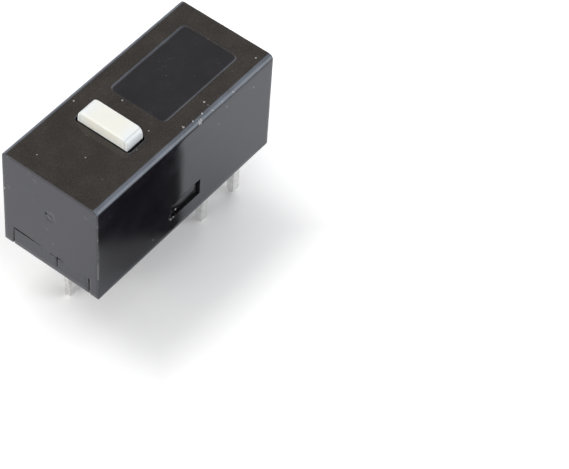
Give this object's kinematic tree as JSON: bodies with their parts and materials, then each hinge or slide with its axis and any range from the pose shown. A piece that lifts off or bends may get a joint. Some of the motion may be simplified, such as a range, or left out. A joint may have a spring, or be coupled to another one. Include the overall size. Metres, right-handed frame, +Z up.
{
  "type": "micro switch",
  "caption": "Miniature snap-action micro switch with an optical read-out: black snap-fit housing, off-white press button on top, flat pins and thin leads below.",
  "frame": {"origin": "middle of the mounting face, which is the underside of the base", "axes": "+Z up towards the button, +X along the housing towards the optics, +Y towards the receiver"},
  "size_m": [0.0128, 0.0058, 0.0102],
  "materials": {
    "cover_plastic": "smooth black moulding with fine wear and dust",
    "base_plastic": "satin black moulding",
    "button_plastic": "off-white low-friction plastic, slightly waxy",
    "blade_metal": "bright rolled copper alloy strip",
    "terminal_metal": "tin over brass, slightly scratched",
    "lead_metal": "tin over brass, pale gold tint",
    "clear_resin": "clear cast resin",
    "dark_resin": "dark filter resin",
    "emitter_die": "polished chip",
    "receiver_die": "polished chip",
    "gold_wire": "bright drawn gold wire"
  },
  "bodies": {
    "housing": {"cover": "cover_plastic", "base": "base_plastic", "anchor_terminal": "terminal_metal", "stop_terminal": "terminal_metal", "emitter_body": "clear_resin", "emitter_anode_lead": "lead_metal", "emitter_cathode_lead": "lead_metal", "emitter_chip": "emitter_die", "emitter_bond_wire": "gold_wire", "receiver_body": "dark_resin", "receiver_collector_lead": "lead_metal", "receiver_emitter_lead": "lead_metal", "receiver_chip": "receiver_die", "receiver_bond_wire": "gold_wire"},
    "button": {"plunger": "button_plastic"},
    "blade": {"snap_blade": "blade_metal"}
  },
  "joints": [
    {"name": "button_press", "type": "slide", "parent": "housing", "child": "button", "axis": [0, 0, -1], "range_m": [0, 0.0005], "stiffness_N_per_m": 1300},
    {"name": "blade_pivot", "type": "hinge", "parent": "housing", "child": "blade", "pos_m": [-0.00493, 0, 0.0042], "axis": [0, 1, 0], "range_deg": [0, 10.42]}
  ],
  "couplings": [
    {"joint": "blade_pivot", "follows": "button_press", "rad_per_m": 363.64}
  ]
}
